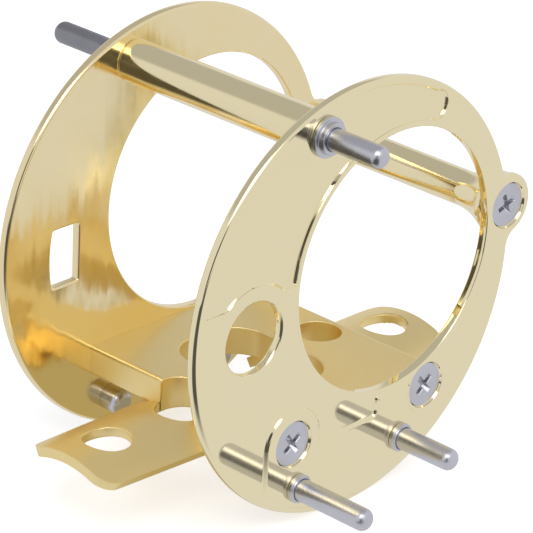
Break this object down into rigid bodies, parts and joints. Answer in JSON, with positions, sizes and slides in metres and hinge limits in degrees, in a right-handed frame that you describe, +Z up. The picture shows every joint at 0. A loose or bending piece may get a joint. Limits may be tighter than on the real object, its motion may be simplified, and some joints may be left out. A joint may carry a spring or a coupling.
{
  "type": "fishing reel frame",
  "caption": "Open frame of a small round multiplier fishing reel: two offset-bored side plates held by pillars and an arched rod foot, with studs for the side covers.",
  "frame": {"origin": "on the seat of the foot, at the crown of its arched underside, under the plates' common centre and midway between the plates", "axes": "+X from the left plate to the right plate, +Y to the rear along the foot, +Z up from the rod to the plates' centre"},
  "size_m": [0.0526, 0.0571, 0.0499],
  "materials": {
    "gold_mirror": "mirror gold plating on polished brass",
    "gold_satin": "satin gold plating on milled brass",
    "steel": "bright turned steel"
  },
  "bodies": {
    "root": {"foot_bridge": "gold_satin", "left_front_screw": "steel", "left_front_stud": "steel", "left_front_stud_nut": "steel", "left_lug_screw": "steel", "left_rear_screw": "steel", "left_rear_stud": "steel", "left_rear_stud_nut": "steel", "left_side_plate": "gold_mirror", "left_top_collar": "steel", "left_top_stud": "steel", "rear_pillar": "gold_mirror", "right_front_screw": "steel", "right_front_stud": "steel", "right_front_stud_nut": "steel", "right_lug_screw": "steel", "right_rear_screw": "steel", "right_rear_stud": "steel", "right_rear_stud_nut": "steel", "right_side_plate": "gold_mirror", "right_top_collar": "steel", "right_top_stud": "steel", "top_pillar": "gold_mirror"}
  },
  "joints": []
}
